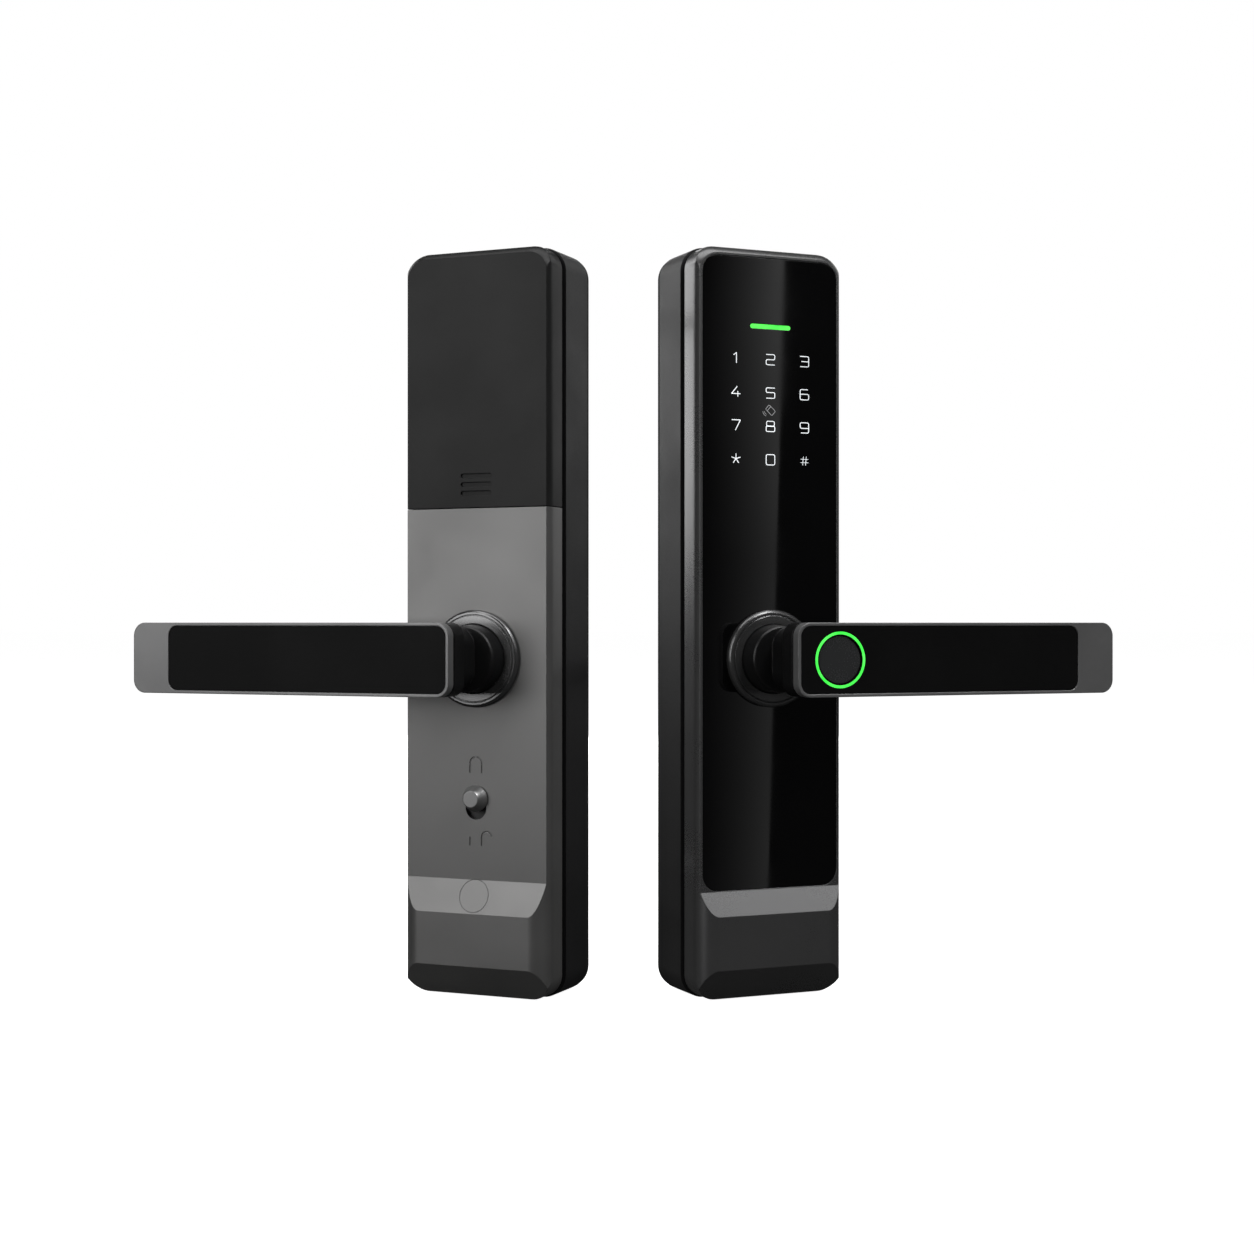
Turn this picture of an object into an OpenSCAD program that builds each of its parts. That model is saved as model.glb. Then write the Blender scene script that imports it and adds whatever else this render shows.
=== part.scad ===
// Keypad smart lock for a door, in two units that stand side by side with their backs half turned
// to each other: an outside unit with a glass keypad and a fingerprint lever, and an inside unit
// with a battery compartment and a locking slider.
//
// Each unit is drawn with its door face in the plane y = 0, its front towards -Y, its lever towards
// +X and its foot at z = 0. "Depth" means the distance out from the door face, in millimetres.
// The inside unit is the mirror image of the outside unit's frame, so its lever points to -X.

/* [Layout] */
// Distance from the middle of the pair to each door face's centre
unit_x = 44.2; // [40:0.2:120]
// Angle by which each unit is turned outwards, in degrees
unit_turn = 23; // [0:1:40]

/* [Housing] */
// Width of a unit
unit_w = 66; // [60:0.5:84]
// Height of a unit
unit_h = 300; // [285:1:360]
// Corner radius of a unit, seen from the front
corner_r = 10; // [6:0.5:14]
// Thickness of the rubber gasket against the door
gasket_t = 2.6; // [1:0.1:4]
// Width of the gasket's rim
gasket_w = 4.5; // [3:0.5:7]
// Depth of the base's front edge
base_front = 23; // [21:0.5:30]
// Thickness of the base's floor
floor_t = 2.4; // [1.6:0.1:3.5]
// Wall thickness of the base and the shells
wall = 2.2; // [1.5:0.1:2.8]
// Width of the shadow groove between base and shell
seam_gap = 2; // [1:0.1:3]
// How far a shell stands in from the base on each side
shell_step = 0.8; // [0.3:0.1:1.5]
// Depth of a shell from its back edge to its front face
shell_d = 12.2; // [11:0.2:20]
// Radius of a shell's upright and top front edges
edge_r = 8; // [5:0.5:9]
// How far the front face's top edge lies below the shell's top
top_drop = 3; // [1:0.1:5]
// Thickness of the base's locating lip
lip_t = 1.2; // [0.8:0.1:1.6]
// How far the locating lip enters the shell
lip_entry = 2; // [1:0.1:4]
// Clearance around pieces that drop into each other
drop_clear = 0.2; // [0.1:0.05:0.4]
// Radial clearance of turning and sliding fits
run_clear = 0.05; // [0.02:0.01:0.1]

/* [Chin] */
// Height at which the outside unit's slope down to the chin starts
outside_slope_z = 43.8; // [40:0.1:50]
// Height at which the inside unit's slope down to the chin starts
inside_slope_z = 47.4; // [42:0.1:52]
// Height of the slope's lower edge
chin_top = 34.3; // [30:0.1:38]
// How far the chin stands out in front of the front face
chin_proud = 3.8; // [1:0.1:6]
// Height of the bottom facet's upper edge
facet_top = 13.2; // [9:0.1:16]
// How far the bottom facet runs back
facet_run = 7.5; // [4:0.5:8]

/* [Glass and keypad] */
// Thickness of the glass
glass_t = 1.8; // [1.2:0.1:2.2]
// How far the glass stands behind the rim
glass_sink = 0.2; // [0.1:0.05:0.4]
// Width of the metal rim around the glass
glass_rim = 1.2; // [1:0.1:2.5]
// Sideways distance between keys
key_pitch_x = 15.3; // [13:0.1:17]
// Upright distance between keys
key_pitch_z = 13.3; // [11:0.1:15]
// Height of the keypad's centre
keypad_z = 234.8; // [225:0.1:250]
// Height of a digit
digit_h = 4.8; // [3.5:0.1:6]
// Width of a digit
digit_w = 3.7; // [2.5:0.1:5]
// Line width of a digit
digit_line = 0.5; // [0.3:0.05:0.8]
// Height of the status light's centre
status_z = 267.8; // [262:0.1:275]
// Length of the status light
status_w = 17.8; // [10:0.1:24]
// Height of the status light
status_h = 1.7; // [1:0.1:3]

/* [Lever] */
// Height of the lever's axis
axis_z = 135.6; // [130:0.1:142]
// Radius of the lever's round boss
boss_r = 13.6; // [12.5:0.1:17]
// Width of the rosette around the boss
rosette_w = 5.8; // [4:0.1:9]
// How far the rosette stands out in front of the shell
rosette_proud = 2.7; // [1.5:0.1:5]
// Width of the rosette's bright rim
rosette_rim = 1.9; // [1:0.1:2.5]
// How far the boss stands out in front of the rosette
boss_l = 8.4; // [6:0.1:12]
// Length of the neck between boss and bar
neck_l = 10.7; // [8:0.1:16]
// Thickness of the lever bar
lever_t = 13; // [12:0.1:18]
// Height of the lever bar
lever_h = 28.7; // [25:0.1:32]
// Distance from the axis to the lever's near end
lever_end = 6.1; // [5:0.1:9]
// Distance from the axis to the lever's tip
lever_tip = 139.4; // [120:0.2:155]
// Corner radius of the lever bar
lever_corner_r = 5.4; // [3:0.1:8]
// Thickness of the lever's front slab
slab_t = 4.2; // [3:0.1:5]
// Width and depth of the groove behind the front slab
slab_groove = 0.9; // [0.5:0.1:1.5]
// Width of the metal rim around the lever's inlay
inlay_rim = 1.4; // [1:0.1:2.5]
// Distance from the axis to the inlay's outer end
inlay_tip = 122.3; // [105:0.1:130]
// Thickness of the inlay
inlay_t = 1.2; // [0.8:0.1:2]
// Angle through which a lever turns down, in degrees
lever_swing = 45; // [30:1:55]
// Radius of the hub that carries a lever
hub_r = 9; // [8:0.1:10]

/* [Fingerprint sensor] */
// Distance from the lever's axis to the sensor's centre
sensor_x = 12.3; // [11.5:0.1:30]
// Outer radius of the light ring
ring_r = 11.1; // [9:0.1:12]
// Width of the light ring
ring_w = 1.5; // [0.8:0.1:2]
// Radius of the sensor's touch face
sensor_r = 9.1; // [7:0.1:9.3]

/* [Battery compartment] */
// Height of the seam below the battery cover
cover_z = 195.5; // [190:0.5:200]
// Gap along the cover's seam
cover_gap = 0.3; // [0.2:0.05:0.6]
// Radius of a battery
cell_r = 7.15; // [7:0.05:7.25]
// Length of a battery with its contact nub
cell_l = 50.5; // [49:0.1:51]
// Number of batteries
cells = 4; // [4]
// Height of the lowest battery's centre
cell_z = 215; // [212:0.5:220]
// Gap between batteries
cell_gap = 1.3; // [1:0.1:2]

/* [Locking slider] */
// Height of the slider knob's centre when locked
slider_z = 79.9; // [74:0.1:90]
// Distance that the knob slides down to unlock
slider_travel = 4; // [3:0.1:6]
// Radius of the knob's face
knob_r = 3.6; // [3:0.1:4.5]
// Radius of the knob's foot
knob_foot_r = 5.3; // [4.9:0.1:6.5]
// Half width of the slot
slot_r = 4.5; // [3.8:0.1:4.7]
// How far the knob stands out in front of the shell
knob_l = 5; // [3:0.1:9]

/* [Fixings] */
// Height of the lower fixing bolt
bolt_low_z = 41.2; // [40:0.1:43]
// Height of the upper fixing bolt
bolt_high_z = 283; // [282:0.5:286]
// Radius of the fixing bolts
bolt_r = 2.5; // [2:0.1:3]
// How far the bolts reach behind the inside unit
bolt_reach = 30; // [20:1:60]
// How far the threaded posts reach behind the outside unit
post_reach = 16; // [8:1:25]
// Outer radius of a threaded post
post_r = 3.8; // [3.3:0.1:4.5]
// Radius of a threaded post's hole
post_hole_r = 2.1; // [1.6:0.1:2.5]
// Length of a threaded post's hole
post_hole_l = 20; // [12:1:20]
// Side of the square spindle
spindle_side = 8; // [7:0.1:8]
// How far the spindle reaches behind the outside unit
spindle_reach = 60; // [45:1:90]
// Radius of the round cap over the lower bolt
cap_r = 6.3; // [5:0.1:6.5]

/* [Hidden] */
$fn = 64;
eps = 0.01;

// Housing
floor_front = gasket_t + floor_t;
shell_back = base_front + seam_gap;
shell_front = shell_back + shell_d;
chin_front = shell_front + chin_proud;
shell_half_w = unit_w / 2 - shell_step;
shell_foot = shell_step;
shell_top = unit_h - shell_step;
shell_corner_r = corner_r - shell_step;
face_inset = edge_r - sqrt(edge_r * edge_r - pow(max(edge_r - chin_proud, 0), 2));
top_corner_r = shell_corner_r + top_drop - face_inset;
top_corner_x = shell_half_w - shell_corner_r;
top_corner_z = shell_top - top_corner_r;
top_edge_w = shell_front - sqrt(edge_r * edge_r - pow(edge_r - top_drop, 2));
lip_inset = shell_step + wall + drop_clear;
lip_front = shell_back + lip_entry;
lip_inner = unit_w / 2 - lip_inset - lip_t;

// Glass and the ledge behind it
glass_front = shell_front - glass_sink;
glass_back = glass_front - glass_t;
ledge_t = 1.8;
ledge_back = glass_back - ledge_t;
glass_half_w = shell_half_w - face_inset - glass_rim;
glass_foot = outside_slope_z + 0.4;
glass_top = shell_top - top_drop - glass_rim;
glass_corner_r = shell_corner_r - face_inset - glass_rim;
glass_low_corner_r = 6.5;
window_half_w = 2.5 * key_pitch_x / 2 + 5;
window_low = keypad_z - 2 * key_pitch_z - 3;
window_high = status_z + 6;
board_t = 1.6;
board_front = ledge_back - drop_clear;

// Lever drive, from the floor outwards
rosette_r = boss_r + rosette_w;
rosette_front = shell_front + rosette_proud;
boss_front = rosette_front + boss_l;
lever_back = boss_front + neck_l;
lever_front = lever_back + lever_t;
hub_back = floor_front + 0.3;
hub_front = boss_front - 4;
circlip_w = [hub_back + 0.2, hub_back + 1.2];
bush_w = [circlip_w[1] + 0.4, base_front - 6];
bush_r = hub_r + 2;
tower_r = bush_r + run_clear + 3;
cam_w = [bush_w[1] + 1.5, bush_w[1] + 5.5];
cam_r = hub_r + 4;
lug_r = cam_r + 3.5;
lug_w = 6;
stop_pin_r = 2;
spring_w = [cam_w[1] + 1.5, ledge_back - 1.2];
spring_wire_r = 0.75;
spring_r = hub_r + 2.8;
spring_turns = 4.25;
boss_back = shell_front + 0.4;
boss_taper = 0.5;
sleeve_r = boss_r + 2 * run_clear;
skirt_r = sleeve_r + 1;
sleeve_hole_r = skirt_r + drop_clear;
spindle_head_r = 6;
spindle_w = [bush_w[1] + 1, bush_w[1] + 13];
hub_bore_front = spindle_w[1] + 0.5;
square_socket = spindle_side + 0.25;

// Lever
slab_back = lever_front - slab_t;
inlay_front = lever_front - 0.2;
inlay_back = inlay_front - inlay_t;
inlay_end = lever_end - inlay_rim;
inlay_half_h = lever_h / 2 - inlay_rim;
inlay_corner_r = lever_corner_r - inlay_rim;
neck_r = 7.5;
lever_wall = 2.6;
lever_hollow_back = lever_back + lever_wall;
lever_hollow_rim = inlay_rim + 2.2;
ring_back = inlay_front - 5;
sensor_front = inlay_front - 0.7;
sensor_board_back = lever_hollow_back + 0.6;

// Battery compartment
cell_pitch = 2 * cell_r + cell_gap;
tray_half_w = lip_inner - drop_clear;
tray_wall = 1.2;
tray_inner = tray_half_w - tray_wall;
tray_back = floor_front + 9.5;
tray_floor = tray_back + tray_wall;
cell_w = tray_floor + cell_r + drop_clear;
tray_front = cell_w + 4;
tray_low = cell_z - cell_pitch / 2 - 1;
tray_high = cell_z + (cells - 0.5) * cell_pitch + 1;
contact_t = 0.4;
nub_l = 1;

// Slider
slider_wall_back = shell_front - wall;
knob_front = shell_front + knob_l;
slider_plate_t = 1.6;
stem_r = slot_r - 0.35;

// Clutch and buzzer
clutch_w = (cam_w[0] + cam_w[1]) / 2;
motor_r = 5;
motor_z = [axis_z - 52, axis_z - 38];
screw_r = 1.6;
clutch_travel = 3;
nut_z = [motor_z[1] + 3, motor_z[1] + 9];
nose_top = axis_z - cam_r - clutch_travel - 0.6;
clutch_half_w = 4;
bracket_half_w = 8;
buzzer_r = 7;
buzzer_x = bracket_half_w + buzzer_r + 3;
buzzer_z = axis_z - 46;

// Case screws, given by the x and z of each
case_x = unit_w / 3;
outside_screws = [[-case_x, 22], [case_x, 22], [-case_x, unit_h - 13], [case_x, unit_h - 13]];
inside_screws = [[-case_x, 22], [case_x, 22], [-case_x, axis_z + 12.4], [case_x, axis_z + 12.4]];
case_screw_r = 1.5;
case_head_r = 2.8;
case_head_l = 2;
case_boss_r = 3.6;
case_bite = 4;

// Slot in the base's floor for the cable through the door: width and height
cable_slot = [18, 10];
cable_slot_z = axis_z + 26;

// Socket for emergency power on the underside: middle, width, height and length inwards
socket_x = -8;
socket_depth = 13;
socket = [10, 4.2, 8];
socket_wall = 0.5;

// The pair stands with the middle of its bounding box over the origin.
front_reach = lever_end * sin(unit_turn) + lever_front * cos(unit_turn);
back_reach = spindle_reach * cos(unit_turn) + spindle_side / 2 * sin(unit_turn);
unit_y = (front_reach - back_reach) / 2;

// ---------------------------------------------------------------- helpers

module at_outside()
    translate([unit_x, unit_y, 0]) rotate([0, 0, unit_turn]) children();

module at_inside()
    mirror([1, 0, 0]) at_outside() children();

// Extrudes a front-view outline from depth w0 to depth w1.
module out(w0, w1)
    translate([0, -w0, 0]) rotate([90, 0, 0]) linear_extrude(w1 - w0) children();

// A round bar along the depth, from w0 to w1, centred on x and z.
module rod(r, w0, w1, x = 0, z = 0)
    translate([x, -w0, z]) rotate([90, 0, 0]) cylinder(r = r, h = w1 - w0);

// A turned piece on the lever's axis: the profile's points are [radius, depth].
module turned(profile)
    translate([0, 0, axis_z]) rotate([90, 0, 0]) rotate_extrude($fn = 96) polygon(profile);

// Extrudes a side-view outline, whose points are [depth, height], across the width.
module across(width)
    rotate([0, 0, -90]) rotate([90, 0, 0]) linear_extrude(width, center = true) children();

// A block between two corners given as [x, depth, z].
module block(low, high)
    translate([low[0], -high[1], low[2]])
        cube([high[0] - low[0], high[1] - low[1], high[2] - low[2]]);

// A front-view rectangle from low to high with its own radius at the bottom and at the top.
module rounded(low, high, r_low, r_high) {
    x0 = low[0];
    x1 = high[0];
    translate([x0 + r_low, low[1]]) square([x1 - x0 - 2 * r_low, r_low]);
    translate([x0 + r_high, high[1] - r_high]) square([x1 - x0 - 2 * r_high, r_high]);
    translate([x0, low[1] + r_low]) square([x1 - x0, high[1] - low[1] - r_low - r_high]);
    for (side = [[x0, 1], [x1, -1]]) {
        translate([side[0] + side[1] * r_low, low[1] + r_low]) circle(r = r_low);
        translate([side[0] + side[1] * r_high, high[1] - r_high]) circle(r = r_high);
    }
}

// The front view of a unit, shrunk by d on every side.
module unit_outline(d)
    rounded([d - unit_w / 2, d], [unit_w / 2 - d, unit_h - d], corner_r - d, corner_r - d);

// A round wire coiled about the Z axis: the ring of points at each step is swept along a helix.
module coil(r, wire, height, turns, steps = 18, sides = 8) {
    n = ceil(turns * steps);
    points = [for (i = [0 : n], j = [0 : sides - 1])
        let (a = 360 * turns * i / n, b = 360 * j / sides, q = r + wire * cos(b))
        [q * cos(a), q * sin(a), wire + (height - 2 * wire) * i / n + wire * sin(b)]];
    quads = [for (i = [0 : n - 1], j = [0 : sides - 1])
        let (k = (j + 1) % sides)
        [i * sides + j, (i + 1) * sides + j, (i + 1) * sides + k, i * sides + k]];
    first = [for (j = [0 : sides - 1]) j];
    last = [for (j = [0 : sides - 1]) (n + 1) * sides - 1 - j];
    polyhedron(points, concat([first, last], quads));
}

// ---------------------------------------------------------------- shared housing pieces

module gasket()
    out(0, gasket_t) difference() {
        unit_outline(0.4);
        unit_outline(gasket_w);
    }

// The base: a tray with a locating lip, a bearing tower for the lever and screw bosses.
module base_tray(bolt_hole_r, screws) {
    difference() {
        union() {
            out(gasket_t, floor_front) unit_outline(0);
            out(floor_front - eps, base_front) difference() {
                unit_outline(0);
                unit_outline(lip_inset + lip_t);
            }
            out(base_front - eps, lip_front) difference() {
                unit_outline(lip_inset);
                unit_outline(lip_inset + lip_t);
            }
            rod(tower_r, floor_front - eps, bush_w[1], 0, axis_z);
            for (a = [90 + lever_swing / 2 + stop_angle(), 90 - lever_swing / 2 - stop_angle()])
                rod(stop_pin_r, floor_front - eps, cam_w[1], lug_r * cos(a), axis_z + lug_r * sin(a));
            for (p = screws)
                rod(case_boss_r, floor_front - eps, shell_back - drop_clear, p[0], p[1]);
        }
        rod(spindle_head_r + 1, 0, floor_front + 1, 0, axis_z);
        rod(bush_r + run_clear, floor_front, bush_w[1] + 1, 0, axis_z);
        for (z = [bolt_low_z, bolt_high_z])
            rod(bolt_hole_r, 0, floor_front + 1, 0, z);
        for (p = screws) {
            rod(case_screw_r + drop_clear, 0, base_front + 5, p[0], p[1]);
            rod(case_head_r + 0.3, 0, floor_front + case_head_l, p[0], p[1]);
        }
        block([-cable_slot[0] / 2, 0, cable_slot_z],
            [cable_slot[0] / 2, floor_front + 1, cable_slot_z + cable_slot[1]]);
    }
}

// Angle between the middle of the cam's lug and a stop pin that it rests against.
function stop_angle() = asin((lug_w / 2 + stop_pin_r + 0.4) / lug_r);

// The closed outer form of a shell: d is taken off its outline, and front off its face. Its
// upright front edges are round, and its side view has a chin, a slope, a face and a round top.
module shell_form(slope_z, d, front, back) {
    face = shell_front - front;
    chin = chin_front - d;
    half = shell_half_w - d;
    intersection() {
        out(back, chin)
            rounded([-half, shell_foot + d], [half, shell_top - d],
                shell_corner_r - d, shell_corner_r - d);
        linear_extrude(unit_h) edge_plan(half, chin, edge_r - d);
        across(unit_w + 2) polygon([
            [back - 1, shell_foot + d], [chin - facet_run, shell_foot + d], [chin, facet_top],
            [chin, chin_top - d / 2], [face, slope_z - d / 2], [face, unit_h], [back - 1, unit_h]
        ]);
        top_edge(d, back - 1);
    }
}

// A shell seen from above, with its front corners rounded by r.
module edge_plan(half, front, r) {
    translate([-half, r - front]) square([2 * half, front]);
    translate([r - half, -front]) square([2 * (half - r), front]);
    for (side = [-1, 1])
        translate([side * (half - r), r - front]) circle(r = r);
}

// Everything that a shell's round top edge leaves: the edge runs along the top and round both
// upper corners.
module top_edge(d, back) {
    r = edge_r - d;
    arc = [for (i = [0 : 8]) let (a = 8 * i) [top_corner_r - edge_r + r * cos(a), top_edge_w + r * sin(a)]];
    edge = concat([[0, back], [top_corner_r - d, back]], arc, [[0, arc[8][1]]]);
    block([-unit_w, back, -1], [unit_w, chin_front + 1, top_corner_z]);
    translate([0, 0, top_corner_z])
        across(2 * top_corner_x) polygon([for (p = edge) [p[1], p[0]]]);
    for (side = [-1, 1])
        translate([side * top_corner_x, 0, top_corner_z])
            rotate([90, 0, 0]) rotate_extrude($fn = 96) polygon(edge);
}

// A boss on the inside of a shell for each case screw.
module shell_bosses(slope_z, screws)
    intersection() {
        for (p = screws)
            rod(case_boss_r, shell_back, chin_front, p[0], p[1]);
        shell_form(slope_z, wall / 2, wall / 2, shell_back);
    }

module shell_boss_holes(screws)
    for (p = screws)
        rod(case_screw_r + run_clear, shell_back - 1, shell_back + case_bite + 0.4, p[0], p[1]);

// The screws that hold a shell on its base, put in from behind and sunk into the floor.
module case_screws(screws)
    for (p = screws)
        difference() {
            union() {
                rod(case_screw_r, floor_front + case_head_l, shell_back + case_bite, p[0], p[1]);
                rod(case_head_r, floor_front - 0.2, floor_front + case_head_l, p[0], p[1]);
            }
            for (turn = [0, 90])
                translate([p[0], -floor_front, p[1]]) rotate([0, turn, 0])
                    cube([3.2, 2.4, 0.7], center = true);
        }

// ---------------------------------------------------------------- shared lever pieces

module rosette(seat) {
    rim_r = rosette_r - rosette_rim;
    turned([
        [sleeve_r, ledge_back + 0.4], [skirt_r, ledge_back + 0.4], [skirt_r, seat],
        [rosette_r, seat], [rosette_r, rosette_front - 1.1], [rosette_r - 0.4, rosette_front - 0.4],
        [rosette_r - 1, rosette_front], [rim_r, rosette_front], [rim_r, rosette_front - 0.3],
        [rim_r - 0.4, rosette_front - 0.3], [rim_r - 0.4, rosette_front - 0.1],
        [sleeve_r + 0.3, rosette_front - 0.1], [sleeve_r, rosette_front - 0.4]
    ]);
}

module bush()
    turned([
        [hub_r + run_clear, bush_w[0]], [bush_r, bush_w[0]], [bush_r, bush_w[1] + 0.1],
        [bush_r + 1.6, bush_w[1] + 0.1], [bush_r + 1.6, bush_w[1] + 1.1],
        [hub_r + run_clear, bush_w[1] + 1.1]
    ]);

module return_spring()
    translate([0, -spring_w[0], axis_z]) rotate([90, 0, 0])
        coil(spring_r, spring_wire_r, spring_w[1] - spring_w[0], spring_turns);

// The hub: a turned shaft with a circlip groove and a socket for the spindle from behind.
module hub() {
    difference() {
        turned([
            [0, hub_back], [hub_r, hub_back], [hub_r, circlip_w[0] - run_clear],
            [hub_r - 1, circlip_w[0] - run_clear], [hub_r - 1, circlip_w[1] + run_clear],
            [hub_r, circlip_w[1] + run_clear], [hub_r, hub_front], [0, hub_front]
        ]);
        children();
    }
}

module circlip()
    translate([0, -circlip_w[0], axis_z]) rotate([90, 0, 0]) linear_extrude(circlip_w[1] - circlip_w[0])
        difference() {
            circle(r = hub_r + 1.3);
            circle(r = hub_r - 0.9);
            translate([-2, 0]) square([4, hub_r + 2]);
        }

// The cam on the hub. The lever turns clockwise seen from the front, so the lug starts on one side
// of the top and stops against one of the base's two pins at each end of the swing.
module stop_cam()
    translate([0, -cam_w[0], axis_z]) rotate([90, 0, 0]) linear_extrude(cam_w[1] - cam_w[0])
        difference() {
            union() {
                circle(r = cam_r);
                rotate(lever_swing / 2) translate([-lug_w / 2, 0]) square([lug_w, lug_r + 1]);
            }
            circle(r = hub_r + run_clear);
        }

// The lever bar's front view, shrunk by d on every side.
module lever_outline(d)
    translate([0, axis_z])
        rounded([d - lever_end, d - lever_h / 2], [lever_tip - d, lever_h / 2 - d],
            lever_corner_r - d, lever_corner_r - d);

module inlay_outline(d)
    translate([0, axis_z])
        rounded([d - inlay_end, d - inlay_half_h], [inlay_tip - d, inlay_half_h - d],
            inlay_corner_r - d, inlay_corner_r - d);

// The lever: a round boss, a rounded neck and a hollow bar whose front slab is set off by a groove.
module lever_casting(hollow_for_sensor) {
    neck_half_h = boss_r - boss_taper - 0.6;
    neck_low = [1.1 - lever_end, axis_z - neck_half_h];
    neck_high = [lever_end * 2, axis_z + neck_half_h];
    difference() {
        union() {
            turned([
                [hub_r - 3, boss_back], [boss_r, boss_back], [boss_r, rosette_front + 0.4],
                [boss_r - boss_taper, boss_front - 0.6], [boss_r - boss_taper - 0.6, boss_front],
                [0, boss_front], [0, hub_front + run_clear], [hub_r - 3, hub_front + run_clear]
            ]);
            out(boss_front - 1, lever_back + 1) rounded(neck_low, neck_high, neck_r, neck_r);
            out(lever_back, slab_back - slab_groove) lever_outline(0);
            out(slab_back - slab_groove - eps, slab_back + eps) lever_outline(slab_groove);
            out(slab_back, lever_front) lever_outline(0);
        }
        rod(hub_r + run_clear, boss_back - 1, hub_front + run_clear, 0, axis_z);
        out(inlay_back - run_clear, lever_front + 1) inlay_outline(-0.15);
        out(lever_hollow_back, lever_front) inlay_outline(lever_hollow_rim - inlay_rim);
        if (hollow_for_sensor)
            rod(ring_r + run_clear, ring_back - drop_clear, lever_front, sensor_x, axis_z);
        set_screw_bar(2.05, -boss_r - 1);
    }
}

module lever_inlay()
    out(inlay_back, inlay_front) inlay_outline(0);

// A bar from the hub down through the boss, at the set screw's place.
module set_screw_bar(r, low)
    translate([0, -(boss_back + hub_front) / 2 - 1, axis_z + low])
        cylinder(r = r, h = -low - hub_r + 0.3);

module set_screw()
    difference() {
        intersection() {
            set_screw_bar(2, 1 - boss_r);
            rod(boss_r - 0.8, boss_back, hub_front, 0, axis_z);
        }
        rod(hub_r + run_clear, boss_back - 1, boss_front, 0, axis_z);
        translate([0, -(boss_back + hub_front) / 2 - 1, axis_z - boss_r])
            cylinder(r = 1.15, h = 2.6, $fn = 6);
    }

// ---------------------------------------------------------------- outside unit

module outside_gasket()
    color("#151515") at_outside() gasket();

module outside_base()
    color("#3a3b3d") at_outside() difference() {
        base_tray(post_r + 0.1, outside_screws);
        socket_space(drop_clear, -1, socket[2]);
    }

module outside_shell()
    color("#56585b") at_outside() difference() {
        union() {
            difference() {
                shell_form(outside_slope_z, 0, 0, shell_back);
                shell_form(outside_slope_z, wall, shell_front - ledge_back, shell_back - 1);
            }
            shell_bosses(outside_slope_z, outside_screws);
        }
        out(glass_back, chin_front + 1) glass_outline(-0.15);
        out(ledge_back - 1, shell_front)
            rounded([-window_half_w, window_low], [window_half_w, window_high], 2, 2);
        rod(sleeve_hole_r, ledge_back - 1, shell_front, 0, axis_z);
        shell_boss_holes(outside_screws);
    }

// The glass's front view, shrunk by d on every side.
module glass_outline(d)
    rounded([d - glass_half_w, glass_foot + d], [glass_half_w - d, glass_top - d],
        glass_low_corner_r - d, glass_corner_r - d);

module outside_case_screws()
    color("#b8b8b8") at_outside() case_screws(outside_screws);

// Threaded posts that take the bolts from the inside unit through the door.
module mounting_posts()
    color("#a8aab0") at_outside()
        for (z = [bolt_low_z, bolt_high_z])
            difference() {
                union() {
                    rod(post_r, -post_reach, floor_front + 1, 0, z);
                    rod(post_r + 2, floor_front, floor_front + 2, 0, z);
                }
                rod(post_hole_r, -post_reach - 1, post_hole_l - post_reach, 0, z);
            }

module glass_panel()
    color("#08090b") at_outside() difference() {
        out(glass_back, glass_front) glass_outline(0);
        rod(sleeve_hole_r, glass_back - 1, glass_front + 1, 0, axis_z);
        out(glass_back - 1, glass_front + 1) status_outline(-0.1);
    }

// The status light's front view: a bar with round ends.
module status_outline(d)
    rounded([d - status_w / 2, status_z - status_h / 2 + d],
        [status_w / 2 - d, status_z + status_h / 2 - d],
        status_h / 2 - d - eps, status_h / 2 - d - eps);

module status_light_bar()
    color("#4bdc46") at_outside() out(glass_back, glass_front) status_outline(0);

// Spreads the backlight behind the keys.
module keypad_light_guide()
    color("#e8ecf2") at_outside() difference() {
        out(ledge_back, glass_back - drop_clear)
            rounded([0.4 - window_half_w, window_low + 0.4],
                [window_half_w - 0.4, window_high - 0.4], 1.6, 1.6);
        for (i = [-1 : 1], j = [-1.5 : 1.5])
            rod(1.3, ledge_back - 1, ledge_back + 0.8, i * key_pitch_x, keypad_z + j * key_pitch_z);
    }

// Circuit board with one light for each key, a processor and the door cable's socket.
module keypad_board()
    color("#1e5a36") at_outside() {
        out(board_front - board_t, board_front)
            rounded([-lip_inner + 1, window_low - 22], [lip_inner - 1, window_high + 2], 2, 2);
        for (i = [-1 : 1], j = [-1.5 : 1.5])
            rod(1.1, board_front - eps, board_front + 0.7, i * key_pitch_x, keypad_z + j * key_pitch_z);
        block([-7, board_front - board_t - 1.2, keypad_z - 8],
            [7, board_front - board_t + eps, keypad_z + 6]);
        block([-9, board_front - board_t - 4.5, window_low - 16],
            [9, board_front - board_t + eps, window_low - 10]);
    }

// The lit shapes of the keys, one group of bars for each key.
module keypad_legends()
    color("#f2f4f6") at_outside() {
        for (row = [0 : 2], column = [0 : 2])
            key_place(column, row) digit(3 * row + column + 1);
        key_place(0, 3) star();
        key_place(1, 3) digit(0);
        key_place(2, 3) hash();
    }

module key_place(column, row)
    out(glass_front, glass_front + 0.1)
        translate([(column - 1) * key_pitch_x, keypad_z + (1.5 - row) * key_pitch_z]) children();

// The bars of each digit, counted clockwise from the top, with the middle bar last.
digit_bars = [
    [0, 1, 2, 3, 4, 5], [1, 2], [0, 1, 6, 4, 3], [0, 1, 6, 2, 3], [5, 6, 1, 2],
    [0, 5, 6, 2, 3], [0, 5, 6, 4, 3, 2], [0, 1, 2], [0, 1, 2, 3, 4, 5, 6], [6, 5, 0, 1, 2, 3]
];

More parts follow.
